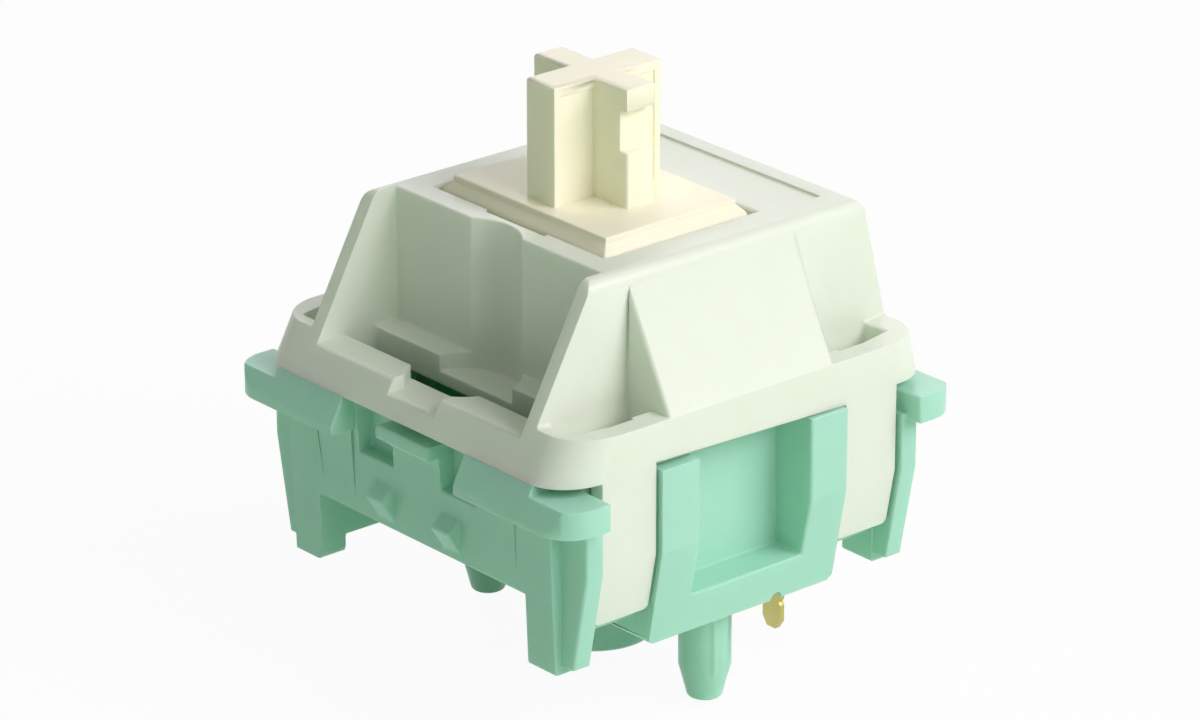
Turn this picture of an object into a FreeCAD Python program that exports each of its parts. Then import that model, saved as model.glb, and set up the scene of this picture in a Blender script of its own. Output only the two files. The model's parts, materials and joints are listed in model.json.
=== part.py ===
"""A five-pin mechanical keyboard switch with a cross stem, in millimetres.

The origin is the centre of the footprint on the circuit board's top face. +Z points to the
keycap, -Y to the side with the light window and +X to the side whose clip frame and solder
pin are seen first. Each size is one cell of the sheet, and what fits against another piece
takes its place from the same cells.
"""

import FreeCAD, Part
import Sketcher
import os
import re

document = FreeCAD.newDocument("key_switch")

# Driving sizes, millimetres unless the comment says otherwise
SIZES = {
    # lower housing: plate flange and its gaps
    "flange_half": 7.8,
    "flange_bottom": 5.0,
    "flange_lip": 0.3,
    "corner_shelf": 5.85,
    "flange_corner": 1.15,
    "flange_gap": 2.85,
    "flange_end": 6.05,
    "slope_end": 5.9,
    "front_lean": 0.54,  # run for each millimetre of rise
    # lower housing: tub, clip frames and corner ribs
    "front_inset": 0.9,  # the tub's front and back behind the flange's edge
    "front_draft": 0.12,
    "front_wall": 1.15,
    "tub_side": 6.45,
    "floor_bottom": 2.2,
    "floor_top": 3.2,
    "clip_face": 7.27,
    "clip_foot": 0.3,
    "clip_half": 3.62,
    "clip_window": 2.2,
    "clip_window_back": 5.7,
    "clip_window_foot": 1.57,
    "clip_top": 6.02,
    "wire_groove": 0.22,
    "wire_groove_place": 1.4,
    "side_bend": 3.4,
    "side_lean": 0.195,  # run for each millimetre of drop
    "leg_inner": 4.8,
    "leg_outer": 6.1,
    "leg_depth": 0.88,
    "leg_draft": 0.22,
    "rib_inset": 0.4,
    "rib_width": 0.65,
    "skirt_foot": 1.0,
    "skirt_heel": 0.57,
    "hollow_side": 5.55,
    "hollow_waist": 5.1,
    # lower housing: latch tongue and nubs on the front and back
    "slot_inner": 1.1,
    "slot_outer": 2.74,
    "slot_foot": 4.3,
    "slot_depth": 0.57,
    "latch_half": 1.18,
    "latch_foot": 5.35,
    "latch_top": 5.78,
    "latch_reach": 0.54,
    "nub_inner": 1.13,
    "nub_outer": 1.95,
    "nub_top": 3.7,
    "nub_edge": 3.27,
    "nub_foot": 2.46,
    "nub_reach": 0.4,
    "band_inner": 3.0,
    "band_outer": 4.5,
    "band_foot": 2.5,
    "band_reach": 0.05,
    # lower housing: centre post, pegs and spring well
    "post_radius": 2.0,
    "post_foot": -2.56,
    "post_round": 0.35,
    "peg_radius": 0.8,
    "peg_place": 5.08,
    "peg_foot": -2.97,
    "peg_taper": -1.9,
    "peg_tip": 0.52,
    "peg_round": 0.15,
    "peg_rib_radius": 0.16,
    "peg_rib_rise": 0.03,
    "peg_rib_foot": -2.4,
    "peg_rib_turn": 20.0,  # degrees either side of straight outwards
    "well_radius": 2.4,
    "well_floor": 1.15,
    "collar_radius": 1.5,
    "collar_top": 2.6,
    "bore_foot": -2.3,
    "edge_round": 0.12,
    "latch_root": 0.3,
    "hollow_step": 0.6,
    # upper housing
    "rim_bottom": 6.15,
    "rim_top": 7.48,
    "rim_side": 7.1,
    "rim_corner": 1.4,
    "rim_inner": 6.44,
    "housing_top": 11.42,
    "top_wall": 1.0,
    "crown_side": 5.2,
    "crown_round": 0.42,
    "back_lean": 0.25,  # run for each millimetre of rise
    "panel_half": 3.2,
    "window_half": 4.72,
    "window_back": 3.77,
    "light_radius": 1.73,
    "light_place": 5.05,
    "bar_top": 7.15,
    "ledge_front": 4.6,
    "ledge_low": 6.62,
    "notch_half": 1.07,
    "notch_foot": 6.74,
    "pocket_end": 6.15,
    "pocket_step": 4.95,
    "pocket_floor": 6.5,
    "pocket_in": 0.12,
    "pocket_bite": 0.8,
    "plate_foot": 1.55,
    "plate_wall": 0.5,
    "plate_round": 0.2,
    "inner_front": 3.05,
    "inner_side": 4.5,
    "back_wall": 0.75,
    "panel_near": 3.5,
    "panel_far": 5.25,
    "panel_side": 4.2,
    "panel_depth": 0.08,
    "hole_slot": 1.4,
    "hole_slot_depth": 0.17,
    # stem
    "stem_side": 3.75,
    "stem_front": 2.8,
    "stem_top": 11.8,
    "plate_rise": 0.18,
    "plate_flare": 0.28,
    "plate_bevel": 0.06,
    "stem_foot": 7.5,
    "stem_wall": 0.62,
    "spring_seat": 10.6,
    "cross_along": 4.2,
    "cross_length": 4.1,
    "cross_thick": 1.05,
    "cross_wide": 1.25,
    "cross_top": 15.55,
    "cross_bevel": 0.13,
    "grip_notch_low": 13.52,
    "grip_notch_high": 14.8,
    "grip_notch_depth": 0.33,
    "arm_panel_depth": 0.06,
    "arm_panel_edge": 0.22,
    "arm_panel_top": 15.2,
    "pole_radius": 0.95,
    "pole_foot": 2.0,
    "rail_reach": 0.65,
    "rail_half": 1.0,
    "cam_near": 1.1,
    "cam_far": 1.9,
    "cam_reach": 0.97,
    "cam_low": 8.3,
    "cam_high": 8.9,
    "cam_top": 9.85,
    "shank_reach": 0.3,
    # contacts
    "metal": 0.2,
    "pin_width": 0.8,
    "pin_foot": -3.15,
    "pin_point": 0.3,
    "pin_nick": 0.07,
    "pin_nick_place": -2.2,
    "pin_nick_height": 0.22,
    "fixed_pin_side": 2.54,
    "fixed_pin_back": 5.08,
    "moving_pin_side": -3.81,
    "moving_pin_back": 2.54,
    "leaf_top": 8.7,
    "leaf_foot": 7.5,
    "leaf_root": -2.9,
    "leaf_end": 2.1,
    "blade_half": 0.8,
    "tip_height": 8.1,
    "tip_radius": 0.35,
    "tip_thick": 0.12,
    # return spring
    "spring_radius": 1.9,
    "spring_wire": 0.28,
    "spring_turns": 9.5,
    # named clearances
    "stem_gap": 0.14,
    "pole_gap": 0.08,
    "frame_gap": 0.1,
    "cam_gap": 0.1,
    "contact_gap": 0.3,
    "slot_gap": 0.08,
    "rail_gap": 0.05,
    "seat_gap": 0.02,
}

# Lengths that follow from the sizes
WORKED = {
    "far": "flange_half + housing_top",  # past every face, for cuts that run out of the part
    "past": "far / 10",
    "sink": "far / 100",  # how far joined forms reach into each other
    "lip_top": "flange_bottom + flange_lip",
    "tub_front": "flange_half - front_inset",
    "tub_foot": "tub_front - front_draft",
    "hollow_front": "tub_front - front_wall",
    "slot_back": "tub_front - slot_depth",
    "leg_foot": "tub_front - leg_draft",
    "leg_back": "leg_foot - leg_depth",
    "rib_outer": "tub_front - rib_inset",
    "rib_inner": "rib_outer - rib_width",
    "plate_outer": "rib_inner - frame_gap",
    "rim_foot": "flange_half - front_lean * (rim_bottom - lip_top)",
    "crown_front": "flange_half - front_lean * (housing_top - lip_top)",
    "crown_back": "rim_foot - back_lean * (housing_top - rim_bottom)",
    "clip_toe": "clip_face - side_lean * (side_bend - clip_foot)",
    "tub_toe": "tub_side - side_lean * (side_bend - floor_bottom)",
    "plate_toe": "rim_side - side_lean * (side_bend - plate_foot)",
    "skirt_toe": "tub_side - side_lean * (side_bend - skirt_foot)",
    "plate_inner": "clip_half + frame_gap",
    "pocket_face": "rim_inner - pocket_in",
    "ceiling": "housing_top - top_wall",
    "panel_top": "housing_top - crown_round",
    "hole_side": "stem_side + stem_gap",
    "hole_front": "stem_front + stem_gap",
    "flare_top": "stem_top - plate_rise",
    "cross_half": "cross_length / 2",
    "along_half": "cross_along / 2",
    "bore_radius": "pole_radius + pole_gap",
    "cam_face": "stem_front + cam_reach",
    "leaf_face": "cam_face + cam_gap",
    "leaf_back": "leaf_face + metal",
    "blade_back": "leaf_face - 2 * tip_thick - contact_gap",
    "blade_face": "blade_back - metal",
    "fixed_pin_face": "fixed_pin_back - metal / 2",
    "fixed_pin_rear": "fixed_pin_back + metal / 2",
    "moving_pin_face": "moving_pin_back - metal / 2",
    "moving_pin_rear": "moving_pin_back + metal / 2",
    "spring_foot": "well_floor + spring_wire / 2 + seat_gap",
    "spring_head": "spring_seat - spring_wire / 2 - seat_gap",
}

sheet = document.addObject("Spreadsheet::Sheet", "Size")
for row, (alias, amount) in enumerate(SIZES.items(), start=1):
    sheet.set(f"A{row}", alias)
    sheet.set(f"B{row}", str(amount))
    sheet.setAlias(f"B{row}", alias)
document.recompute()


FUNCTIONS = ("cos", "sin")  # of degrees


def formula(text):
    """The expression with each size's name as its cell and each worked length written out."""

    def cell(found):
        name = found.group(0)
        if name in FUNCTIONS:
            return name
        if name in WORKED:
            return f"({formula(WORKED[name])})"
        if name in SIZES:
            return f"Size.{name}"
        raise KeyError(f"no size is named {name}")

    return re.sub(r"[a-z]+(?:_[a-z]+)*", cell, str(text))


def number(text):
    """What an expression comes to now."""
    return float(sheet.evalExpression(formula(text)))


# Planes through the origin: how a sketch turns to lie in each
TURN = {
    "XY": FreeCAD.Rotation(),
    "XZ": FreeCAD.Rotation(FreeCAD.Vector(1, 0, 0), 90),
    "YZ": FreeCAD.Rotation(FreeCAD.Vector(1, 1, 1), 120),
}


def constrain_outline(sketch, points):
    """Draw a closed outline whose corners are expressions of the sheet."""
    corners = [FreeCAD.Vector(number(across), number(up), 0) for across, up in points]
    count = len(corners)
    sides = [Part.LineSegment(corners[i], corners[(i + 1) % count]) for i in range(count)]
    sketch.addGeometry(sides, False)
    for i in range(count):
        sketch.addConstraint(Sketcher.Constraint("Coincident", i, 2, (i + 1) % count, 1))
    for i, (corner, point) in enumerate(zip(corners, points)):
        for axis, place, text in (("X", corner.x, point[0]), ("Y", corner.y, point[1])):
            index = sketch.addConstraint(Sketcher.Constraint(f"Distance{axis}", -1, 1, i, 1, place))
            label = f"corner{i}{axis}"
            sketch.renameConstraint(index, label)
            sketch.setExpression(f"Constraints.{label}", formula(text))


def prism(name, plane, points, low, high):
    """An outline in one of the origin planes, pushed from low to high along its third axis."""
    sketch = document.addObject("Sketcher::SketchObject", name + "_outline")
    constrain_outline(sketch, points)
    sketch.Placement = FreeCAD.Placement(FreeCAD.Vector(), TURN[plane])
    solid = document.addObject("Part::Extrusion", name)
    solid.Base = sketch
    solid.DirMode = "Normal"
    solid.Solid = True
    ahead, behind = (high, f"-({low})")
    if plane == "XZ":  # its normal points along -Y, so the two ends change places
        ahead, behind = behind, ahead
    solid.setExpression("LengthFwd", formula(ahead))
    solid.setExpression("LengthRev", formula(behind))
    return solid


def rectangle(left, right, low, high):
    """The corners of an upright rectangle."""
    return [(left, low), (right, low), (right, high), (left, high)]


def block(name, x, y, z):
    """A box between two expressions along each axis."""
    return prism(name, "XY", rectangle(x[0], x[1], y[0], y[1]), z[0], z[1])


# Round bars along each axis: how a bar that stands on Z turns to lie along it
LIE = {
    "X": FreeCAD.Rotation(FreeCAD.Vector(0, 1, 0), 90),
    "Y": FreeCAD.Rotation(FreeCAD.Vector(1, 0, 0), -90),
    "Z": FreeCAD.Rotation(),
}


def cylinder(name, radius, low, high, x="0", y="0", z="0", axis="Z"):
    """A round bar from low to high along an axis, at the other two places."""
    bar = document.addObject("Part::Cylinder", name)
    bar.setExpression("Radius", formula(radius))
    bar.setExpression("Height", formula(f"({high}) - ({low})"))
    bar.Placement = FreeCAD.Placement(FreeCAD.Vector(), LIE[axis])
    places = {"X": x, "Y": y, "Z": z}
    places[axis] = low
    for direction, text in places.items():
        bar.setExpression(f"Placement.Base.{direction.lower()}", formula(text))
    return bar


def join(name, *solids):
    """One solid from several that meet."""
    joined = document.addObject("Part::MultiFuse", name)
    joined.Shapes = list(solids)
    joined.Refine = True
    return joined


def cut(name, base, *tools):
    """The base without the tools."""
    tool = tools[0] if len(tools) == 1 else join(name + "_tools", *tools)
    if len(tools) > 1:
        tool.Refine = False
    result = document.addObject("Part::Cut", name)
    result.Base = base
    result.Tool = tool
    result.Refine = True
    return result


def shared(name, first, second):
    """What two solids have in common, for a form given by two profiles."""
    result = document.addObject("Part::Common", name)
    result.Base = first
    result.Tool = second
    result.Refine = True
    return result


def mirrored(name, source, axis):
    """The mirror image across the plane through the origin whose normal is the axis."""
    image = document.addObject("Part::Mirroring", name)
    image.Source = source
    image.Normal = FreeCAD.Vector(*(1.0 if axis == letter else 0.0 for letter in "XYZ"))
    return image


def rounded(name, base, radius, wanted):
    """The base with a fillet on each edge that wanted() picks, by the edge's middle and direction."""
    document.recompute()
    size = number(radius)
    picked = []
    for index, edge in enumerate(base.Shape.Edges, start=1):
        middle = edge.valueAt((edge.FirstParameter + edge.LastParameter) / 2)
        if wanted(edge, middle):
            picked.append((index, size, size))
    if not picked:
        raise RuntimeError(f"{name}: no edge to round")
    fillet = document.addObject("Part::Fillet", name)
    fillet.Base = base
    fillet.Edges = picked
    return fillet


def near(value, text, slack=0.02):
    """Whether a coordinate lies at an expression's value."""
    return abs(value - number(text)) < slack


def straight_along(edge, letter, slack=0.001):
    """Whether an edge is a straight line along an axis."""
    if edge.Curve.TypeId != "Part::GeomLine":
        return False
    return abs(getattr(edge.Curve.Direction, letter)) > 1 - slack


def both(solid, axis):
    """A solid and its mirror image."""
    return [solid, mirrored(f"{solid.Name}_{axis.lower()}_image", solid, axis)]


def four(solid):
    """A solid in one corner and its images in the other three."""
    return [image for half in both(solid, "X") for image in both(half, "Y")]


# Lower housing


def flange():
    """The plate flange: four corner pieces, sloped on the front and back, with a shelf at each corner."""
    square = block("flange_square", ("-flange_half", "flange_half"), ("-flange_half", "flange_half"),
                   ("flange_bottom", "rim_bottom"))
    corners = rounded("flange_corners", square, "flange_corner",
                      lambda edge, middle: straight_along(edge, "z"))
    slopes = prism("flange_slopes", "YZ", [
        ("-flange_half", "flange_bottom"), ("flange_half", "flange_bottom"), ("flange_half", "lip_top"),
        ("rim_foot", "rim_bottom"), ("-rim_foot", "rim_bottom"), ("-flange_half", "lip_top"),
    ], "-flange_half", "flange_half")
    plate = shared("flange_plate", corners, slopes)
    above, below = "rim_bottom + past", "flange_bottom - past"
    gaps = both(block("flange_side_gap", ("tub_side", "far"), ("-flange_end", "flange_end"),
                      (below, above)), "X")
    gaps += both(block("flange_shelf_cut", ("slope_end", "far"), ("-far", "far"),
                       ("corner_shelf", above)), "X")
    gaps += both(block("flange_front_gap", ("-flange_gap", "flange_gap"), ("tub_front", "far"),
                       (below, above)), "Y")
    return cut("flange_pieces", plate, *gaps)


def tub():
    """The tub's outer form: leaning front and back walls, and sides that bend inwards below the plate."""
    fore = prism("tub_front_profile", "YZ", [
        ("-tub_foot", "floor_bottom"), ("tub_foot", "floor_bottom"),
        ("tub_front", "rim_bottom"), ("-tub_front", "rim_bottom"),
    ], "-tub_side", "tub_side")
    aside = prism("tub_side_profile", "XZ", [
        ("-tub_toe", "floor_bottom"), ("tub_toe", "floor_bottom"), ("tub_side", "side_bend"),
        ("tub_side", "rim_bottom"), ("-tub_side", "rim_bottom"), ("-tub_side", "side_bend"),
    ], "-flange_half", "flange_half")
    groove = block("tub_corner_cut", ("leg_outer", "far"), ("rib_outer", "far"),
                   ("floor_bottom - past", "flange_bottom"))
    shelf = block("tub_shelf_cut", ("slope_end", "far"), ("-far", "far"),
                  ("corner_shelf", "rim_bottom + past"))
    return cut("tub_body", shared("tub_form", fore, aside), *four(groove), *both(shelf, "X"))


def corner_legs():
    """A leg at each corner: a rib on the front or back face and a rib on the side, with a groove between."""
    root = "flange_bottom + sink"
    front = prism("leg_front_rib", "YZ", [
        ("leg_back", "0"), ("leg_foot", "0"), ("tub_front", "flange_bottom"),
        ("tub_front", root), ("leg_back", root),
    ], "leg_inner", "leg_outer")
    side = prism("leg_side_rib", "XZ", [
        ("leg_outer - sink", "clip_foot"), ("clip_toe", "clip_foot"), ("clip_face", "side_bend"),
        ("clip_face", root), ("leg_outer - sink", root),
    ], "rib_inner", "rib_outer")
    return four(join("corner_leg", front, side))


def side_skirts():
    """The side walls below the floor, beside the clip frames, with an edge that slopes down inwards."""
    root = "floor_bottom + sink"
    return four(prism("side_skirt", "XZ", [
        ("leg_inner", "skirt_heel"), ("skirt_toe", "skirt_foot"), ("tub_toe", "floor_bottom"),
        ("tub_toe", root),
        ("leg_inner", root),
    ], "clip_half - sink", "rib_inner + sink"))


def clip_block():
    """The bar under the floor whose ends are the two raised clip frames on the sides."""
    return prism("clip_bar", "XZ", [
        ("-clip_toe", "clip_foot"), ("clip_toe", "clip_foot"), ("clip_face", "side_bend"),
        ("clip_face", "clip_top"), ("-clip_face", "clip_top"), ("-clip_face", "side_bend"),
    ], "-clip_half", "clip_half")


def clip_windows():
    """The recess of each clip frame."""
    window = block("clip_window_cut", ("clip_window_back", "far"), ("-clip_window", "clip_window"),
                   ("clip_window_foot", "rim_bottom + past"))
    return both(window, "X")


def latch_slots():
    """Two slots beside the latch tongue, and the room above it, on the back and front walls."""
    above = "rim_bottom + past"
    slot = block("latch_slot", ("slot_inner", "slot_outer"), ("slot_back", "far"), ("slot_foot", above))
    room = block("latch_room", ("-slot_inner", "slot_inner"), ("slot_back", "far"), ("latch_top", above))
    return four(slot) + both(room, "Y")


def latches():
    """The catch at the head of each latch tongue."""
    square = block("latch_square", ("-latch_half", "latch_half"),
                   ("tub_front - latch_root", "tub_front + latch_reach"), ("latch_foot", "latch_top"))
    catch = rounded("latch_catch", square, "edge_round", lambda edge, middle: straight_along(edge, "x")
                    and near(middle.y, "tub_front + latch_reach"))
    return both(catch, "Y")


def nubs():
    """Two wedge nubs on the front wall and two on the back, each a ramp over an undercut."""
    return four(prism("nub", "YZ", [
        ("tub_foot - latch_root", "nub_foot"), ("tub_foot", "nub_foot"),
        ("tub_front + nub_reach", "nub_edge"),
        ("tub_foot", "nub_top"), ("tub_foot - latch_root", "nub_top"),
    ], "nub_inner", "nub_outer"))


def wall_bands():
    """The shallow raised bands under the flange on the front and back walls."""
    return four(prism("wall_band", "YZ", [
        ("tub_foot - latch_root", "band_foot"), ("tub_foot", "band_foot"),
        ("tub_front + band_reach", "flange_bottom"),
        ("tub_front + band_reach", "flange_bottom + sink"),
        ("tub_foot - latch_root", "flange_bottom + sink"),
    ], "band_inner", "band_outer"))


def post_and_pegs():
    """The centre post that the board's large hole takes, and the two pegs beside it."""
    post = cylinder("post_bar", "post_radius", "post_foot", "clip_foot + sink")
    post = rounded("centre_post", post, "post_round", lambda edge, middle: near(middle.z, "post_foot"))
    bar = cylinder("peg_bar", "peg_radius", "peg_taper", "clip_foot + sink", x="peg_place")
    cone = document.addObject("Part::Cone", "peg_taper_cone")
    cone.setExpression("Radius1", formula("peg_tip"))
    cone.setExpression("Radius2", formula("peg_radius"))
    cone.setExpression("Height", formula("peg_taper - peg_foot"))
    cone.setExpression("Placement.Base.x", formula("peg_place"))
    cone.setExpression("Placement.Base.z", formula("peg_foot"))
    peg = rounded("peg", join("peg_form", bar, cone), "peg_round",
                  lambda edge, middle: near(middle.z, "peg_foot"))
    reach = "(peg_radius + peg_rib_rise - peg_rib_radius)"
    rib = cylinder("peg_rib", "peg_rib_radius", "peg_rib_foot", "clip_foot + sink",
                   x=f"peg_place + {reach} * cos(peg_rib_turn)", y=f"{reach} * sin(peg_rib_turn)")
    rib = rounded("peg_rib_end", rib, "peg_rib_radius / 2",
                  lambda edge, middle: near(middle.z, "peg_rib_foot"))
    return [post, *both(peg, "X"), *four(rib)]


def hollow():
    """The tub's inside: wide at the front and back, narrow between the clip frames, with room for a strip."""
    top = "rim_bottom + past"
    wide = block("hollow_wide", ("-hollow_side", "hollow_side"), ("clip_window + hollow_step", "hollow_front"),
                 ("floor_top", top))
    narrow = block("hollow_narrow", ("-hollow_waist", "hollow_waist"), ("-hollow_front", "hollow_front"),
                   ("floor_top", top))
    strip = block("fixed_foot_room",
                  ("fixed_pin_side - pin_width / 2 - slot_gap", "fixed_pin_side + pin_width / 2 + slot_gap"),
                  ("blade_face - slot_gap", "fixed_pin_rear + slot_gap"),
                  ("floor_top", "floor_top + metal + slot_gap"))
    return both(wide, "Y") + [narrow, strip]


def bottom_housing():
    """The lower housing with its legs, clip frames, post, pegs and spring well."""
    body = join("lower_form", tub(), flange(), clip_block(), *corner_legs(), *side_skirts())
    well = cylinder("spring_well", "well_radius", "well_floor", "floor_top + past")
    body = cut("lower_hollow", body, *hollow(), well, *clip_windows(), *latch_slots())
    collar = cylinder("spring_collar", "collar_radius", "well_floor - sink", "collar_top")
    body = join("lower_raised", body, collar, *latches(), *nubs(), *wall_bands(), *post_and_pegs())
    bore = cylinder("pole_bore", "bore_radius", "bore_foot", "collar_top + past")
    fixed = block("fixed_pin_slot",
                  ("fixed_pin_side - pin_width / 2 - slot_gap", "fixed_pin_side + pin_width / 2 + slot_gap"),
                  ("fixed_pin_face - slot_gap", "fixed_pin_rear + slot_gap"),
                  ("floor_bottom - far", "floor_top + past"))
    moving = block("moving_pin_slot",
                   ("moving_pin_side - pin_width / 2 - slot_gap",
                    "moving_pin_side + pin_width / 2 + slot_gap"),
                   ("moving_pin_face - slot_gap", "moving_pin_rear + slot_gap"),
                   ("floor_bottom - far", "floor_top + past"))
    groove = cylinder("wire_groove_cut", "wire_groove", "clip_window_back", "far", y="wire_groove_place",
                      z="clip_foot", axis="X")
    return cut("bottom_housing", body, bore, fixed, moving, groove)


# Upper housing


def crown():
    """The raised middle: a leaning front, a steeper back and a flat top with rounded edges."""
    solid = prism("crown_form", "YZ", [
        ("-rim_foot", "rim_bottom"), ("rim_foot", "rim_bottom"),
        ("crown_back", "housing_top"), ("-crown_front", "housing_top"),
    ], "-crown_side", "crown_side")
    return rounded("crown", solid, "crown_round", lambda edge, middle: near(middle.z, "housing_top"))


def rim():
    """The rounded frame that covers the lower housing."""
    fore = prism("rim_front_profile", "YZ", [
        ("-rim_foot", "rim_bottom"), ("rim_foot", "rim_bottom"),
        ("rim_foot - back_lean * (rim_top - rim_bottom)", "rim_top"),
        ("-(rim_foot - front_lean * (rim_top - rim_bottom))", "rim_top"),
    ], "-rim_side", "rim_side")
    return rounded("rim", fore, "rim_corner", lambda edge, middle: near(abs(middle.x), "rim_side")
                   and near(middle.z, "(rim_top + rim_bottom) / 2"))


def side_panels():
    """The sloped flat panel in the middle of each side, up to the crown's rounded edge."""
    return prism("side_panels", "XZ", [
        ("-rim_side", "rim_bottom"), ("rim_side", "rim_bottom"), ("rim_side", "rim_top"),
        ("crown_side", "panel_top"), ("-crown_side", "panel_top"), ("-rim_side", "rim_top"),
    ], "-panel_half", "panel_half")


def leg_plates():
    """Four plates that hang from the rim beside the clip frames, bent inwards at their feet."""
    foot = "plate_foot"
    plate = prism("leg_plate_form", "XZ", [
        ("plate_toe - plate_wall", foot), ("plate_toe", foot), ("rim_side", "side_bend"),
        ("rim_side", "rim_bottom + sink"),
        ("rim_side - plate_wall", "rim_bottom + sink"), ("rim_side - plate_wall", "side_bend"),
    ], "plate_inner", "plate_outer")
    plate = rounded("leg_plate", plate, "plate_round",
                    lambda edge, middle: near(middle.z, foot) and straight_along(edge, "x", 0.1))
    return four(plate)


def light_window():
    """The window in the front for a light: a stepped ledge and a round room that bites the walls."""
    room = block("window_room", ("-window_half", "window_half"), ("-far", "-window_back"),
                 ("bar_top", "far"))
    well = block("window_well", ("-window_half", "window_half"), ("-hollow_front", "-ledge_front"),
                 ("rim_bottom - past", "bar_top + sink"))
    light = cylinder("light_room", "light_radius", "ledge_low", "far", y="-light_place")
    behind = block("light_room_side", ("-far", "far"), ("-hollow_front", "0"), ("ledge_low", "far"))
    bite = cylinder("light_room_bar", "light_radius", "notch_foot", "bar_top + sink", y="-light_place")
    notch = block("window_notch", ("-notch_half", "notch_half"), ("-far", "-light_place"),
                  ("notch_foot", "bar_top + sink"))
    return [room, well, shared("light_room_back", light, behind), bite, notch]


def side_pockets():
    """The four deep pockets between the side panels and the rim, stepped at the rim's inner edge."""
    return four(prism("side_pocket", "XY", [
        ("crown_side", "panel_half"), ("pocket_face", "panel_half"),
        ("pocket_face", "panel_half + pocket_bite"),
        ("rim_inner", "panel_half + pocket_bite"), ("rim_inner", "pocket_step"),
        ("pocket_face - pocket_in", "pocket_end"), ("crown_side", "pocket_end"),
    ], "pocket_floor", "far"))


def inner_space():
    """The inside of the upper housing, open below, and the shaped hole for the stem."""
    back = "rim_foot - back_wall"
    space = prism("upper_space", "YZ", [
        ("-inner_front", "rim_bottom - past"), (back, "rim_bottom - past"), (back, "rim_bottom"),
        (f"{back} - back_lean * (ceiling - rim_bottom)", "ceiling"), ("-inner_front", "ceiling"),
    ], "-inner_side", "inner_side")
    top = "housing_top + past"
    low = "ceiling - sink"
    hole = block("stem_hole", ("-hole_side", "hole_side"), ("-hole_front", "hole_front"), (low, top))
    slot = block("stem_hole_slot", ("-hole_slot", "hole_slot"), ("-hole_front - hole_slot_depth", "0"),
                 (low, top))
    field = block("name_field", ("-panel_side", "panel_side"), ("panel_near", "panel_far"),
                  ("housing_top - panel_depth", top))
    return [space, hole, slot, field]


def top_housing():
    """The upper housing: rim, crown, side panels and leg plates, hollowed for the stem and the light."""
    outside = join("upper_form", rim(), crown(), side_panels(), *leg_plates())
    return cut("top_housing", outside, *light_window(), *side_pockets(), *inner_space())


# Stem


def flared(half):
    """The outline of the stem's skirt: upright, a slope inwards and the short edge of the plate."""
    right = [(half, "stem_foot"), (half, "flare_top - plate_flare"), (f"{half} - plate_flare", "flare_top"),
             (f"{half} - plate_flare", "stem_top")]
    left = [(f"-({across})", up) for across, up in reversed(right)]
    return right + left


def stem():
    """The slider: a cross on a plate, a hollow skirt with rails and cams, and a pole inside the spring."""
    aside = prism("stem_side_profile", "XZ", flared("stem_side"), "-stem_front", "stem_front")
    fore = prism("stem_front_profile", "YZ", flared("stem_front"), "-stem_side", "stem_side")
    plate = rounded("stem_plate", shared("stem_form", aside, fore), "plate_bevel",
                    lambda edge, middle: near(middle.z, "stem_top"))
    inside = block("stem_inside", ("stem_wall - stem_side", "stem_side - stem_wall"),
                   ("stem_wall - stem_front", "stem_front - stem_wall"), ("stem_foot - past", "spring_seat"))
    skirt = cut("stem_shell", plate, inside)
    rail = block("stem_rail", ("stem_side - sink", "stem_side + rail_reach"), ("-rail_half", "rail_half"),
                 ("stem_foot", "ceiling - rail_gap"))
    cam = prism("stem_cam", "YZ", [
        ("stem_front - sink", "stem_foot"), ("stem_front + shank_reach", "stem_foot"),
        ("cam_face", "cam_low"),
        ("cam_face", "cam_high"), ("stem_front + shank_reach", "cam_top"), ("stem_front - sink", "cam_top"),
    ], "cam_near", "cam_far")
    pole = cylinder("stem_pole", "pole_radius", "pole_foot", "spring_seat + sink")
    pole = rounded("stem_pole_end", pole, "edge_round", lambda edge, middle: near(middle.z, "pole_foot"))
    root = "stem_top - sink"
    along = block("cross_bar", ("-along_half", "along_half"), ("-cross_thick / 2", "cross_thick / 2"),
                  (root, "cross_top"))
    across = block("cross_bar_across", ("-cross_wide / 2", "cross_wide / 2"), ("-cross_half", "cross_half"),
                   (root, "cross_top"))
    cross = rounded("cross", join("cross_form", along, across), "cross_bevel",
                    lambda edge, middle: near(middle.z, "cross_top"))
    grip = block("grip_notch", ("along_half - grip_notch_depth", "far"), ("-far", "far"),
                 ("grip_notch_low", "grip_notch_high"))
    panel = block("arm_panel", ("cross_wide / 2 - arm_panel_depth", "far"),
                  ("cross_thick / 2", "cross_half - arm_panel_edge"), ("stem_top", "arm_panel_top"))
    cross = cut("cross_cut", cross, grip, *four(panel))
    return join("stem", skirt, *both(rail, "X"), *both(cam, "X"), pole, cross)


# Contacts


def solder_pin(name, side, face, back, top):
    """A flat pin through the floor, with a pointed end and a nick in one edge."""
    half = "pin_width / 2"
    return prism(name, "XZ", [
        (f"{side} - {half}", top), (f"{side} - {half}", "pin_foot + pin_point"),
        (f"{side} - {half} / 2", "pin_foot"), (f"{side} + {half} / 2", "pin_foot"),
        (f"{side} + {half}", "pin_foot + pin_point"),
        (f"{side} + {half}", "pin_nick_place - pin_nick_height / 2"),
        (f"{side} + {half} - pin_nick", "pin_nick_place"),
        (f"{side} + {half}", "pin_nick_place + pin_nick_height / 2"), (f"{side} + {half}", top),
    ], face, back)


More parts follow.
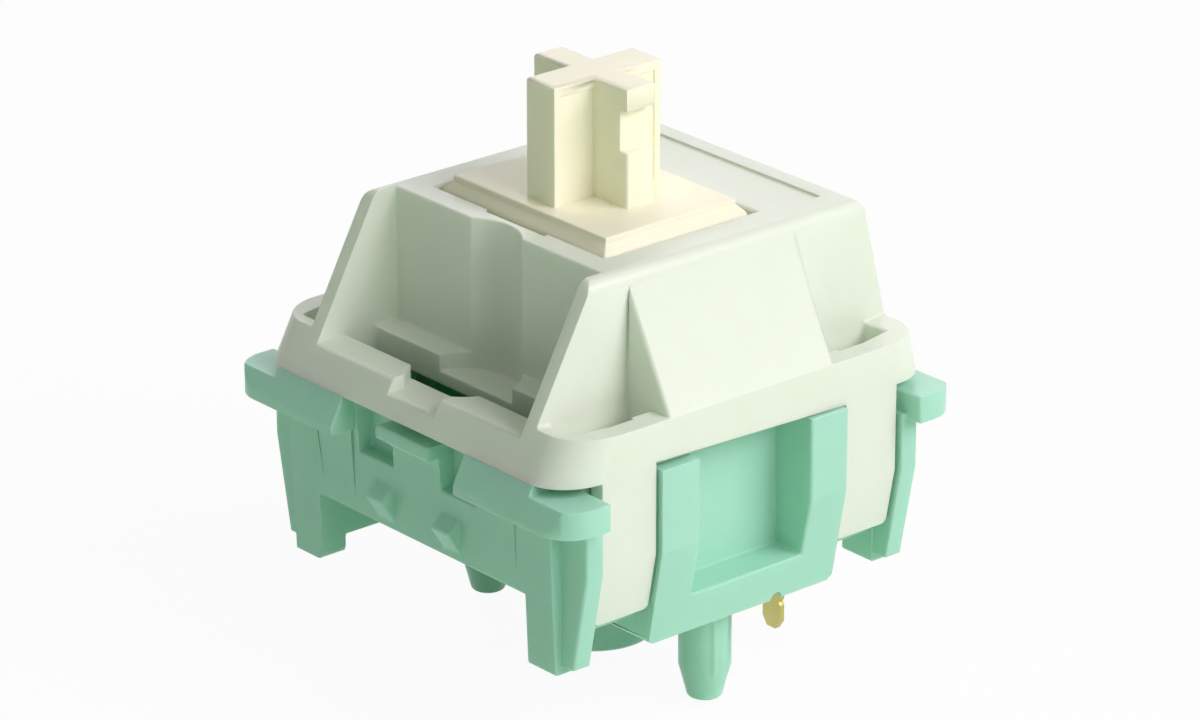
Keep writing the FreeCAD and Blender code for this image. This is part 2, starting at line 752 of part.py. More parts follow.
def fixed_contact():
    """The fixed strip: a solder pin, a foot along the floor and a blade that stands between the cams."""
    left = "fixed_pin_side - pin_width / 2"
    right = "fixed_pin_side + pin_width / 2"
    level = ("floor_top", "floor_top + metal")
    pin = solder_pin("fixed_pin", "fixed_pin_side", "fixed_pin_face", "fixed_pin_rear", "floor_top + metal")
    inward = block("fixed_foot_inward", (left, right), ("blade_face", "fixed_pin_rear"), level)
    across = block("fixed_foot_across", ("-blade_half", right), ("blade_face", "blade_face + pin_width"),
                   level)
    blade = block("fixed_blade", ("-blade_half", "blade_half"), ("blade_face", "blade_back"),
                  ("floor_top", "leaf_top"))
    return join("fixed_contact", pin, inward, across, blade)


def moving_contact():
    """The spring leaf: a solder pin, a foot on the floor, an upright and the arm that the cams hold back."""
    left = "moving_pin_side - pin_width / 2"
    right = "moving_pin_side + pin_width / 2"
    pin = solder_pin("moving_pin", "moving_pin_side", "moving_pin_face", "moving_pin_rear",
                     "floor_top + metal")
    foot = block("leaf_foot_strip", (left, right), ("moving_pin_face", "leaf_back"),
                 ("floor_top", "floor_top + metal"))
    upright = block("leaf_upright", (left, "leaf_root"), ("leaf_face", "leaf_back"),
                    ("floor_top", "leaf_top"))
    arm = block("leaf_arm", ("leaf_root - sink", "leaf_end"), ("leaf_face", "leaf_back"),
                ("leaf_foot", "leaf_top"))
    return join("moving_contact", pin, foot, upright, arm)


def contact_tips():
    """The two round contact points: one on the leaf's inner face, one on the blade, a gap apart."""
    moving = cylinder("moving_contact_tip", "tip_radius", "leaf_face - tip_thick", "leaf_face",
                      z="tip_height", axis="Y")
    fixed = cylinder("fixed_contact_tip", "tip_radius", "blade_back", "blade_back + tip_thick",
                     z="tip_height", axis="Y")
    return [moving, fixed]


# Return spring

WIRE_SIDES = 6


def return_spring():
    """The coil spring round the pole, its wire drawn with six sides to keep the coil's faces few."""
    body = document.addObject("PartDesign::Body", "return_spring")
    planes = {feature.Role: feature for feature in body.Origin.OriginFeatures}
    sketch = body.newObject("Sketcher::SketchObject", "spring_wire_section")
    sketch.AttachmentSupport = [(planes["XZ_Plane"], "")]
    sketch.MapMode = "FlatFace"
    turns = [360 * corner / WIRE_SIDES for corner in range(WIRE_SIDES)]
    constrain_outline(sketch, [(f"spring_radius + spring_wire / 2 * cos({turn})",
                                f"spring_foot + spring_wire / 2 * sin({turn})") for turn in turns])
    document.recompute()
    coil = body.newObject("PartDesign::AdditiveHelix", "spring_coil")
    coil.Profile = sketch
    coil.ReferenceAxis = (sketch, ["V_Axis"])
    coil.Mode = "height-turns-angle"
    coil.Angle = 0
    coil.Growth = 0
    coil.setExpression("Height", formula("spring_head - spring_foot"))
    coil.setExpression("Turns", formula("spring_turns"))
    body.Tip = coil
    return body


# Build, check and write

pieces = [
    bottom_housing(), top_housing(), stem(), fixed_contact(), moving_contact(), *contact_tips(),
    return_spring(),
]
for piece in pieces:
    piece.Label = piece.Name
document.recompute()

for item in document.Objects:
    if "Invalid" in item.State or "Error" in item.State:
        raise RuntimeError(f"{item.Name} failed: {item.State}")
for piece in pieces:
    if piece.Shape.isNull() or not piece.Shape.isValid():
        raise RuntimeError(f"{piece.Name} has no valid shape")

os.makedirs("parts", exist_ok=True)
for piece in pieces:
    piece.Shape.exportStep(f"parts/{piece.Label}.step")
    box = piece.Shape.BoundBox
    print(f"{piece.Label}: {len(piece.Shape.Solids)} solid, {piece.Shape.Volume:.2f} mm3, "
          f"x {box.XMin:.2f} {box.XMax:.2f}, y {box.YMin:.2f} {box.YMax:.2f}, "
          f"z {box.ZMin:.2f} {box.ZMax:.2f}")
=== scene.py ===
# %% [markdown]
# # A mechanical keyboard switch
# The object is a small moulded switch: a mint lower housing that clips into a plate and a circuit board, a
# pale green upper housing with a window for a light, and a cream slider with a cross that holds the keycap.
# The CAD part gives every form and size. This lesson dresses it: it softens the moulded edges, winds a round
# spring, cuts the contact leaf into short lengths, gives each piece its finish, and sets the light and the
# camera of the photograph.

# %% Load the CAD part as the frame
import json
import math

import bmesh
import bpy
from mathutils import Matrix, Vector
from mathutils.bvhtree import BVHTree


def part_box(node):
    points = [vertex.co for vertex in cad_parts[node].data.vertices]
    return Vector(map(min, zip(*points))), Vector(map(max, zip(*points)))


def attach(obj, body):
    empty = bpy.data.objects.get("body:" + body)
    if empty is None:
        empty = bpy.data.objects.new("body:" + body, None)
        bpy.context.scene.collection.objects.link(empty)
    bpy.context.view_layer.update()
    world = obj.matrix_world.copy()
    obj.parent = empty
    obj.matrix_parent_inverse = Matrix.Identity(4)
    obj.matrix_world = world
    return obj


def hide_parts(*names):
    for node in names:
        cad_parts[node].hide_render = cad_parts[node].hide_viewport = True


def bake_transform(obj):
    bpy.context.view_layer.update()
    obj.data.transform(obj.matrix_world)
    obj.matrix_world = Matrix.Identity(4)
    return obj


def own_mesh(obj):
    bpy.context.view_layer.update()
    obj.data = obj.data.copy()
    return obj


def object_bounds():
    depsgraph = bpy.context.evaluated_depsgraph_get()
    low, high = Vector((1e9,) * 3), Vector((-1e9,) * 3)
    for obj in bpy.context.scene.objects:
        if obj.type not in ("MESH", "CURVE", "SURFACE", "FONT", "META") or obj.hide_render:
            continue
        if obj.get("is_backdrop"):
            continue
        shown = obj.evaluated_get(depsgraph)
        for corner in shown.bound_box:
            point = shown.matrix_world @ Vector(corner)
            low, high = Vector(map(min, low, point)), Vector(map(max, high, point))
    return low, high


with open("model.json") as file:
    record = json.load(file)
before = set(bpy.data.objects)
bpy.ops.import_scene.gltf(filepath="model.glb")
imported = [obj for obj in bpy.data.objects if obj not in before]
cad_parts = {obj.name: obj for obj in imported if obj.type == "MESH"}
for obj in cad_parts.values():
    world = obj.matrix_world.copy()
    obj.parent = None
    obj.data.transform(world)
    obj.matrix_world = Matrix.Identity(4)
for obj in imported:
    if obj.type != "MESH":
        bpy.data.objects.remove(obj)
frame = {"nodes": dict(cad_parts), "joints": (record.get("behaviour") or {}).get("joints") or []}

MM = 0.001  # metres in a millimetre

cad_box = [list(corner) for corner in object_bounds()]
low, high = cad_box
print("nodes:", sorted(frame["nodes"]))
print("size in millimetres:", [round((high[axis] - low[axis]) / MM, 2) for axis in range(3)])

# %% [markdown]
# ## Finishes
# The switch is made of moulded plastic, spring steel, brass and gold. Each finish is a node material whose
# colour, roughness and fine relief change over the surface. The maths between nodes is easiest to read as
# plain expressions, so a small class stands for a number that flows between nodes and builds a Math node for
# each sign.

# %% Write shader maths as expressions
class Flow:
    """A number that flows between the nodes of a material."""

    def __init__(self, tree, socket):
        self.tree = tree
        self.socket = socket

    def through(self, operation, first, second):
        """A Math node on two numbers, each one a flow or a plain number."""
        node = self.tree.nodes.new("ShaderNodeMath")
        node.operation = operation
        for place, value in zip(node.inputs, (first, second)):
            if isinstance(value, Flow):
                self.tree.links.new(value.socket, place)
            else:
                place.default_value = value
        return Flow(self.tree, node.outputs[0])

    def __add__(self, other):
        return self.through("ADD", self, other)

    def __radd__(self, other):
        return self.through("ADD", other, self)

    def __mul__(self, other):
        return self.through("MULTIPLY", self, other)


# %% [markdown]
# A finish wraps one material. Its node method takes the kind of node, the settings that change its sockets,
# and what each socket gets: a plain value, or the output of another node.

# %% Wrap a material
class Finish:
    """A material on the surface shader, with the object's own millimetres as its space."""

    def __init__(self, name):
        self.material = bpy.data.materials.new(name)
        self.material.use_nodes = True
        self.tree = self.material.node_tree
        self.shader = self.tree.nodes["Principled BSDF"]
        place = self.node("ShaderNodeTexCoord").outputs["Object"]
        self.place = self.node("ShaderNodeMapping", Vector=place, Scale=(1 / MM,) * 3).outputs["Vector"]

    def node(self, kind, settings=None, **values):
        """A new node: its settings first, then its sockets by name."""
        made = self.tree.nodes.new(kind)
        for name, value in (settings or {}).items():
            setattr(made, name, value)
        self.feed(made, **values)
        return made

    def feed(self, made, **values):
        """Give sockets a plain value or a link. A two-word socket name is written with an underscore."""
        for name, value in values.items():
            socket = made.inputs[name.replace("_", " ")]
            if isinstance(value, Flow):
                value = value.socket
            if isinstance(value, bpy.types.NodeSocket):
                self.tree.links.new(value, socket)
            else:
                socket.default_value = value

    def noise(self, scale, detail=2.0, roughness=0.5):
        """Soft random values between 0 and 1, with about this many grains a millimetre."""
        made = self.node("ShaderNodeTexNoise", Vector=self.place, Scale=scale, Detail=detail,
                         Roughness=roughness)
        return Flow(self.tree, made.outputs["Fac"])

    def blend(self, factor, first, second):
        """A colour between two colours."""
        made = self.node("ShaderNodeMix", {"data_type": "RGBA"}, Factor=factor)
        for name, colour in (("A", first), ("B", second)):
            socket = [place for place in made.inputs if place.name == name and place.type == "RGBA"][0]
            socket.default_value = colour
        return [place for place in made.outputs if place.type == "RGBA"][0]

    def relief(self, height, depth):
        """Small hills and dips on the surface, this many millimetres deep."""
        return self.node("ShaderNodeBump", Height=height, Distance=depth * MM, Strength=1.0).outputs["Normal"]


BRIGHTEST = 255  # the next four are the screen's own curve, called sRGB
DARK_END = 0.04045  # below this the curve is a straight line
DARK_SLOPE = 12.92
CURVE_SHIFT = 0.055
CURVE_POWER = 2.4


def paint(red, green, blue):
    """A colour as the screen shows it, 0 to 255, in the linear light that the shader uses."""
    shades = []
    for level in (red, green, blue):
        share = level / BRIGHTEST
        if share <= DARK_END:
            shades.append(share / DARK_SLOPE)
        else:
            shades.append(((share + CURVE_SHIFT) / (1 + CURVE_SHIFT)) ** CURVE_POWER)
    return (*shades, 1.0)


# %% [markdown]
# ### Moulded plastic
# The three mouldings share one recipe. Real moulded parts have a faint cloudiness where the melt flowed, a
# fine satin grain copied from the mould, and slightly glossier patches where the mould is worn. Light also
# enters the plastic a little way, which softens the shadows, so a constant share scatters below the surface.

# %% Make the plastics
CLOUD_SCALE = 0.35  # grains a millimetre, as for every scale here
SPECK_SCALE = 9.0
GRAIN_SCALE = 26.0
FINE_DETAIL = 3.0  # layers of smaller noise
GRAIN_ROUGHNESS = 0.6
GRAIN_DEPTH = 0.0035  # millimetres
CLOUD_SHARE = 0.8  # of the change of colour, the rest comes from the specks
CLOUD_GLOSS = 0.08  # how much the clouds and the specks change the roughness
SPECK_GLOSS = 0.05
MEAN_GLOSS = 0.06  # about what they add on average
SOAK_SHARE = 0.28  # of the light scatters below the surface
SOAK_REACH = (0.65, 1.0, 0.6)  # how far red, green and blue go, as shares of the depth
SHEEN = 0.26  # how strongly the surface mirrors, where the shader's usual value is 0.5


def plastic(name, colour, clouded, gloss, depth):
    """A satin plastic: its colours, its roughness, and how many millimetres light soaks in."""
    finish = Finish(name)
    cloud = finish.noise(CLOUD_SCALE, FINE_DETAIL)
    speck = finish.noise(SPECK_SCALE)
    grain = finish.noise(GRAIN_SCALE, FINE_DETAIL, GRAIN_ROUGHNESS)
    factor = cloud * CLOUD_SHARE + speck * (1 - CLOUD_SHARE)
    finish.feed(finish.shader,
                Base_Color=finish.blend(factor, colour, clouded),
                Roughness=gloss - MEAN_GLOSS + cloud * CLOUD_GLOSS + speck * SPECK_GLOSS,
                Normal=finish.relief(grain, GRAIN_DEPTH),
                Subsurface_Weight=SOAK_SHARE,
                Subsurface_Scale=depth * MM,
                Subsurface_Radius=SOAK_REACH,
                Specular_IOR_Level=SHEEN)
    return finish.material


mint = plastic("mint_plastic finish", paint(171, 224, 202), paint(162, 218, 194), gloss=0.30, depth=1.2)
pale = plastic("pale_plastic finish", paint(228, 236, 222), paint(222, 233, 215), gloss=0.31, depth=0.9)
cream = plastic("cream_plastic finish", paint(248, 247, 223), paint(245, 243, 215), gloss=0.33, depth=0.7)
print("plastics:", mint.name, pale.name, cream.name)

# %% [markdown]
# ### Metals
# The pins and the leaf are stamped from brass strip, which keeps faint rolling lines along its length. The
# contact points are gold. The spring is drawn steel wire with fine draw marks.

# %% Make the metals
STREAK_SCALE = 7.0
PATCH_SCALE = 1.2
PATCH_SHARE = 0.6  # of the change of colour, the rest comes from the streaks
STREAK_GLOSS = 0.1
PATCH_GLOSS = 0.04
STREAK_DEPTH = 0.0012  # millimetres


def metal(name, colour, tarnish, roughness, stretch):
    """A metal with streaks: the stretch squeezes the noise along each axis."""
    finish = Finish(name)
    drawn = finish.node("ShaderNodeMapping", Vector=finish.place, Scale=stretch).outputs["Vector"]
    lines = finish.node("ShaderNodeTexNoise", Vector=drawn, Scale=STREAK_SCALE, Detail=FINE_DETAIL)
    streak = Flow(finish.tree, lines.outputs["Fac"])
    patch = finish.noise(PATCH_SCALE, FINE_DETAIL)
    finish.feed(finish.shader,
                Base_Color=finish.blend(patch * PATCH_SHARE + streak * (1 - PATCH_SHARE), colour, tarnish),
                Metallic=1.0,
                Roughness=roughness - MEAN_GLOSS + streak * STREAK_GLOSS + patch * PATCH_GLOSS,
                Normal=finish.relief(streak, STREAK_DEPTH))
    return finish.material


brass = metal("contact_brass finish", paint(208, 202, 134), paint(186, 178, 106),
              roughness=0.42, stretch=(4.0, 4.0, 0.4))
gold = metal("contact_gold finish", paint(244, 206, 120), paint(228, 184, 92),
             roughness=0.28, stretch=(3.0, 3.0, 3.0))
steel = metal("spring_steel finish", paint(206, 208, 210), paint(178, 180, 184),
              roughness=0.30, stretch=(1.0, 1.0, 6.0))
print("metals:", brass.name, gold.name, steel.name)

# %% [markdown]
# ## Soft moulded edges
# No edge of a moulding is knife sharp: the melt leaves a small radius, and that radius catches the light as
# the thin bright line that the photograph shows along every edge. A bevel of the same width everywhere would
# tear at the small steps, so each edge gets its own width, held to a share of the shortest edge that it meets
# and of the faces beside it. The CAD mesh stays as it is, and the bevel goes on a merged copy that stands for
# it.

# %% Copy a CAD node as one clean skin
MERGE = 0.004 * MM  # corners closer than this are one corner
FLAT = math.radians(1)  # faces that turn less than this are one flat face
RUN_OUT = math.radians(2.6)  # the same, where a rounded corner runs out into a flat side


def skin(node, name, flat=FLAT):
    """A merged copy of a CAD node's mesh, with its flat faces whole."""
    mesh = frame["nodes"][node].data.copy()
    mesh.name = name
    shape = bmesh.new()
    shape.from_mesh(mesh)
    bmesh.ops.remove_doubles(shape, verts=shape.verts, dist=MERGE)
    bmesh.ops.dissolve_limit(shape, angle_limit=flat, verts=shape.verts, edges=shape.edges)
    shape.to_mesh(mesh)
    shape.free()
    copy = bpy.data.objects.new(name, mesh)
    bpy.context.scene.collection.objects.link(copy)
    print(name, "has", len(mesh.polygons), "faces")
    return copy


# %% Find how wide each edge may be
SHARP = math.radians(28)  # faces that turn more than this meet in an edge
RUN_ON = -math.cos(math.radians(38))  # two edges that turn less than this run on into each other
SHARE = 0.3  # of the shortest edge that it meets, the most that a bevel takes
SLIM = 0.25  # of the mean width of the faces beside it
HAIR = math.cos(math.radians(3))  # two edges that leave a corner closer than this shut in a hair-thin face


def leaving(edge, corner):
    """The direction of an edge as it leaves one of its corners."""
    return (edge.other_vert(corner).co - corner.co).normalized()


def runs_on(edge, other, corner):
    """Whether two edges that share a corner are parts of one line."""
    return leaving(edge, corner).dot(leaving(other, corner)) < RUN_ON


def neighbours(edge):
    """Each edge that meets this one, with the corner that they share."""
    for corner in edge.verts:
        for other in corner.link_edges:
            if other is not edge:
                yield other, corner


def mean_width(face):
    """About how wide a long thin face is."""
    return 2 * face.calc_area() / face.calc_perimeter()


def shuts_in_hair(edge):
    """Whether another edge leaves one of its corners in almost the same direction."""
    return any(leaving(edge, corner).dot(leaving(other, corner)) > HAIR
               for other, corner in neighbours(edge))


def even_out(widths):
    """Give each line of edges the smallest width along it."""
    changed = True
    while changed:
        changed = False
        for edge in widths:
            for other, corner in neighbours(edge):
                if other in widths and widths[other] < widths[edge] and runs_on(edge, other, corner):
                    widths[edge] = widths[other]
                    changed = True


def edge_widths(shape, width):
    """The bevel width of each sharp edge: the full width, or less where the room beside it is small."""
    widths = {}
    for edge in shape.edges:
        if edge.is_manifold and edge.calc_face_angle() > SHARP:
            across = [other for other, corner in neighbours(edge) if not runs_on(edge, other, corner)]
            room = [SHARE * other.calc_length() for other in across]
            room += [SLIM * mean_width(face) for face in edge.link_faces]
            widths[edge] = 0.0 if shuts_in_hair(edge) else min(width, *room)
    even_out(widths)
    return widths


# %% [markdown]
# Where three small steps meet, even a modest bevel can fold over itself, and a folded face renders black. So
# the bevel is tried on a copy first. Each face that turns against the skin below it marks a fold, the edges
# near it get half their width, and the bevel is tried again. After the last round some folds can be left: the
# lower housing keeps nine specks and five larger ones, up to a fifth of a millimetre wide, and the upper one
# keeps a thin sliver. Each piece prints its number of them.

# %% Try a bevel and look for folds
SMALLEST = 0.004 * MM  # a narrower bevel is left out
STEPS = 3  # faces across a rounded edge
CRUMB = 0.00002 * MM ** 2  # a smaller face can't be seen
AGAINST = -0.2  # how far a face turns against the skin to count as folded


def choose(thing):
    """Make one object the only selected one."""
    bpy.ops.object.select_all(action="DESELECT")
    thing.select_set(True)
    bpy.context.view_layer.objects.active = thing


def bevelled(piece, widths, width):
    """A copy of the piece with each edge rounded by its own width."""
    trial = bpy.data.objects.new("trial", piece.data.copy())
    bpy.context.scene.collection.objects.link(trial)
    weights = trial.data.attributes.new("bevel_weight_edge", "FLOAT", "EDGE")
    for edge, reach in widths.items():
        weights.data[edge.index].value = reach / width if reach > SMALLEST else 0.0
    choose(trial)
    bevel = trial.modifiers.new("edges", "BEVEL")
    bevel.limit_method = "WEIGHT"
    bevel.offset_type = "OFFSET"
    bevel.width = width
    bevel.segments = STEPS
    bevel.use_clamp_overlap = False
    bpy.ops.object.modifier_apply(modifier=bevel.name)
    return trial


def folds(mesh, ground):
    """The middle of each face that turns against the unbevelled skin."""
    mesh.calc_loop_triangles()
    found = []
    for triangle in mesh.loop_triangles:
        if triangle.area > CRUMB:
            middle = sum((mesh.vertices[index].co for index in triangle.vertices), Vector()) / 3
            if ground.find_nearest(middle)[1].dot(triangle.normal) < AGAINST:
                found.append(middle)
    return found


# %% Round a skin's edges
ROUNDS = 6  # the most tries
REACH = 1.5  # how many bevel widths from a fold an edge gives way


def near_edge(edge, point):
    """How far a point lies from an edge."""
    first, second = (corner.co for corner in edge.verts)
    along = second - first
    share = min(max((point - first).dot(along) / along.length_squared, 0.0), 1.0)
    return (first + along * share - point).length


def soften(piece, width):
    """Bevel each sharp edge by the width, or by less where it would fold over."""
    shape = bmesh.new()
    shape.from_mesh(piece.data)
    ground = BVHTree.FromBMesh(shape)
    widths = edge_widths(shape, width)
    for attempt in range(ROUNDS):
        trial = bevelled(piece, widths, width)
        folded = folds(trial.data, ground)
        if not folded or attempt == ROUNDS - 1:
            break
        for edge in widths:
            if any(near_edge(edge, middle) < width * REACH for middle in folded):
                widths[edge] /= 2
        even_out(widths)
        bpy.data.meshes.remove(trial.data)
    length = sum(edge.calc_length() for edge in widths)
    mean = sum(edge.calc_length() * reach for edge, reach in widths.items()) / length
    shape.free()
    piece.data = trial.data
    bpy.data.objects.remove(trial)
    print(piece.name, "has", len(piece.data.polygons), "faces, a mean bevel of", round(mean / MM, 3),
          "millimetres and", len(folded), "folds after", attempt + 1, "rounds")


# %% Shade a rounded piece
SMOOTH = math.radians(35)  # faces that turn more than this keep a hard line between them


def shade(piece):
    """Shade the rounded edges as curves, and let the large flat faces stay flat."""
    choose(piece)
    bpy.ops.object.shade_smooth_by_angle(angle=SMOOTH)
    even = piece.modifiers.new("even_light", "WEIGHTED_NORMAL")
    even.keep_sharp = True
    bpy.ops.object.modifier_apply(modifier=even.name)


# %% [markdown]
# A few edges of the lower housing are rounder than the rest: the inner foot of the two legs on the -X side,
# and the lower edges of the clip bar. The small ribs on the two pegs end on the pegs' taper. All of these are
# picked by their place and worked on first, in edit mode, before the common rounding.

# %% Pick edges by their place
LEG_INNER = 4.8  # millimetres, as for all lengths here: from the middle to the legs' inner faces
LEG_ROUND = 0.26
BAR_HALF = 3.62  # from the middle to the ends of the clip bar
BAR_FOOT = 0.3  # how high its underside lies above the board
BAR_ROUND = 0.18
NEAR = 0.02  # lengths closer than this are the same
ROUND_STEPS = 4


def close(value, place):
    """Whether a length lies at a place, on either side of the middle."""
    return abs(abs(value) - place) < NEAR


def round_over(piece, radius, chosen):
    """Round the edges that have both ends at a chosen place."""
    choose(piece)
    bpy.ops.object.mode_set(mode="EDIT")
    bpy.ops.mesh.select_mode(type="EDGE")
    bpy.ops.mesh.select_all(action="DESELECT")
    shape = bmesh.from_edit_mesh(piece.data)
    picked = [edge for edge in shape.edges if all(chosen(corner.co / MM) for corner in edge.verts)]
    for edge in picked:
        edge.select_set(True)
    bmesh.update_edit_mesh(piece.data)
    bpy.ops.mesh.bevel(offset=radius * MM, segments=ROUND_STEPS, affect="EDGES")
    bpy.ops.object.mode_set(mode="OBJECT")
    print(piece.name, "has", len(picked), "edges rounded to", radius, "millimetres")


# %% Lay the ends of the ribs on the pegs
PEG_PLACE = 5.08  # from the middle to the axis of a peg
PEG_RADIUS = 0.8
PEG_TIP = 0.52  # the radius at the foot of the taper
TAPER_TOP = -1.9  # this and the next two are heights, below the board's top face
TAPER_FOOT = -2.97
RIB_FOOT = -2.4
RIB_REACH = 1.2 * PEG_RADIUS  # no corner of a rib lies farther from the axis


def taper_ribs(piece):
    """Cut the ribs where the pegs' taper starts, and lay their lower ends on it."""
    choose(piece)
    bpy.ops.object.mode_set(mode="EDIT")
    bpy.ops.mesh.select_all(action="SELECT")
    bpy.ops.mesh.bisect(plane_co=(0, 0, TAPER_TOP * MM), plane_no=(0, 0, 1))
    shape = bmesh.from_edit_mesh(piece.data)
    slope = (PEG_RADIUS - PEG_TIP) / (TAPER_TOP - TAPER_FOOT)
    laid = []
    for corner in shape.verts:
        place = corner.co / MM
        axis = Vector((math.copysign(PEG_PLACE, place.x), 0, place.z))
        offset = place - axis
        reach = PEG_RADIUS + slope * (place.z - TAPER_TOP)
        if RIB_FOOT - NEAR < place.z < TAPER_TOP - NEAR and reach < offset.length < RIB_REACH:
            corner.co = (axis + offset.normalized() * reach) * MM
            laid.append(corner)
    beside = [edge for edge in shape.edges if any(corner in laid for corner in edge.verts)]
    bmesh.ops.dissolve_degenerate(shape, edges=beside, dist=NEAR * MM)
    bmesh.ops.dissolve_degenerate(shape, edges=shape.edges, dist=MERGE)
    bmesh.update_edit_mesh(piece.data)
    bpy.ops.object.mode_set(mode="OBJECT")
    print(piece.name, "has", len(laid), "corners of the ribs laid on the taper")


# %% Work on the lower housing
def at_leg_foot(place):
    """Whether a place lies at the inner foot of a leg on the -X side."""
    return place.x < 0 and close(place.x, LEG_INNER) and close(place.z, 0)


def under_bar_end(place):
    """Whether a place lies at the lower edge of an end of the clip bar."""
    return close(place.y, BAR_HALF) and close(place.z, BAR_FOOT)


def work_lower_shell(piece):
    """Lay the ribs' ends on the taper, and round the legs' feet and the clip bar's lower edges."""
    taper_ribs(piece)
    round_over(piece, LEG_ROUND, at_leg_foot)
    round_over(piece, BAR_ROUND, under_bar_end)


# %% Dress the three mouldings
LOWER_EDGE = 0.10 * MM  # the widest rounding, for each moulding
UPPER_EDGE = 0.12 * MM
SLIDER_EDGE = 0.09 * MM


def dress(node, name, finish, width, prepare=None, flat=FLAT):
    """A skin with rounded edges and its finish, that stands for a CAD node."""
    piece = skin(node, name, flat)
    piece.data.materials.clear()
    piece.data.materials.append(finish)
    if prepare:
        prepare(piece)
    soften(piece, width)
    shade(piece)
    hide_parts(node)
    return piece


lower_shell = dress("bottom_housing", "lower_shell", mint, LOWER_EDGE, prepare=work_lower_shell)
upper_shell = dress("top_housing", "upper_shell", pale, UPPER_EDGE, flat=RUN_OUT)
slider = dress("stem", "slider", cream, SLIDER_EDGE)
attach(lower_shell, "housing")
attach(upper_shell, "housing")
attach(slider, "stem")

# %% [markdown]
# ## Contacts
# Two stamped brass strips make the contact. The fixed one ends in the pin that shows under the clip frame.
# The other is a spring leaf that the slider's cams push back and let go. A stamping has a small rolled edge,
# so both take the same rounding at a much smaller width. The leaf has to bend, so its arm is cut across into
# short lengths.

# %% Dress the strips and the contact points
STRIP_EDGE = 0.035 * MM
POINT_EDGE = 0.04 * MM

fixed_strip = dress("fixed_contact", "fixed_strip", brass, STRIP_EDGE)
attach(fixed_strip, "housing")
fixed_point = dress("fixed_contact_tip", "fixed_point", gold, POINT_EDGE)
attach(fixed_point, "housing")
moving_point = dress("moving_contact_tip", "moving_point", gold, POINT_EDGE)
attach(moving_point, "leaf_tip")

# %% Dress the leaf and cut its arm into lengths
LEAF_ROOT = -2.9 * MM  # where the arm leaves its upright
LEAF_CUTS = 9

leaf = dress("moving_contact", "spring_leaf", brass, STRIP_EDGE)
choose(leaf)
bpy.ops.object.mode_set(mode="EDIT")
for cut in range(LEAF_CUTS):
    place = LEAF_ROOT * (1 - cut / LEAF_CUTS)
    bpy.ops.mesh.select_all(action="SELECT")
    bpy.ops.mesh.bisect(plane_co=(place, 0, 0), plane_no=(1, 0, 0))
bpy.ops.object.mode_set(mode="OBJECT")
shade(leaf)
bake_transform(leaf)

# %% [markdown]
# ## Return spring
# The CAD spring has a six-sided wire to keep its faces few. The real wire is round, and its end turns lie
# close together so that the spring sits level. A slice through the wire is a ring of corners, and the Screw
# modifier winds it up evenly. The closed end turns need one more step: each ring is then moved up or down as
# a whole.

# %% Wind the spring
COIL_RADIUS = 1.9 * MM
WIRE_RADIUS = 0.14 * MM
WIRE_SIDES = 10
TURNS = 9.5
TURN_STEPS = 28  # rings of corners in a turn
END_TURN_RISE = 0.34 * MM  # how much each end turn climbs

steps = round(TURN_STEPS * TURNS)
coil_low, coil_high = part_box("return_spring")
foot = coil_low[2] + WIRE_RADIUS
climb = coil_high[2] - coil_low[2] - 2 * WIRE_RADIUS
bpy.ops.object.select_all(action="DESELECT")
bpy.ops.mesh.primitive_circle_add(vertices=WIRE_SIDES, radius=WIRE_RADIUS,
                                  location=(COIL_RADIUS, 0, foot), rotation=(math.radians(90), 0, 0))
coil = bpy.context.object
coil.name = "coil"
bpy.ops.object.transform_apply(location=True, rotation=True, scale=True)
screw = coil.modifiers.new("winding", "SCREW")
screw.angle = math.radians(360) * TURNS
screw.screw_offset = climb
screw.steps = steps
screw.render_steps = steps
screw.use_merge_vertices = False
bpy.ops.object.modifier_apply(modifier=screw.name)


def climbed(turns):
    """How high the wire is after this many turns: it climbs slowly in the end turns and evenly between."""
    pitch = (climb - 2 * END_TURN_RISE) / (TURNS - 2)
    if turns < 1:
        return END_TURN_RISE * turns
    if turns > TURNS - 1:
        return climb - END_TURN_RISE * (TURNS - turns)
    return END_TURN_RISE + pitch * (turns - 1)


for corner in coil.data.vertices:
    share = corner.index // WIRE_SIDES / steps
    corner.co.z += climbed(TURNS * share) - climb * share
choose(coil)
bpy.ops.object.mode_set(mode="EDIT")
bpy.ops.mesh.select_all(action="SELECT")
bpy.ops.mesh.fill_holes(sides=WIRE_SIDES)
bpy.ops.mesh.select_all(action="SELECT")
bpy.ops.mesh.normals_make_consistent(inside=False)
bpy.ops.object.mode_set(mode="OBJECT")
bpy.ops.object.shade_smooth_by_angle(angle=SMOOTH)
coil.data.materials.append(steel)
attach(coil, "housing")
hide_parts("return_spring")
print("the spring has", len(coil.data.polygons), "faces in", steps + 1, "rings of wire")

# %% Work out how much the spring shortens with the slider
slide = [joint for joint in frame["joints"] if joint["name"] == "stem_slide"][0]
travel = slide["range_m"][1]
well_floor = slide["deforming_nodes"][0]["fixed_end_z_m"]
length = coil_high[2] - well_floor
(length - travel) / length
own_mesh(coil)
print("pressed down, the spring keeps", round((length - travel) / length, 3), "of its length")

# %% [markdown]
# ## Floor and light
# The photograph shows the switch alone on white, lit softly from above and from the right. The floor is a
# pale plane under the pins. The camera sees most of it as plain white, as if the picture had been cleaned,
# and a small share of it as it is, which keeps a faint contact shadow. Metal and gloss see the same white.

# %% Show white to the camera
def bright_for_camera(tree, share):
    """This share for a ray from the camera, from gloss or through a clear body, and nothing for the rest."""
    path = tree.nodes.new("ShaderNodeLightPath")
    straight, glossy, clear = (Flow(tree, path.outputs[f"Is {kind} Ray"])
                               for kind in ("Camera", "Glossy", "Transmission"))
    return (straight + glossy + clear) * share


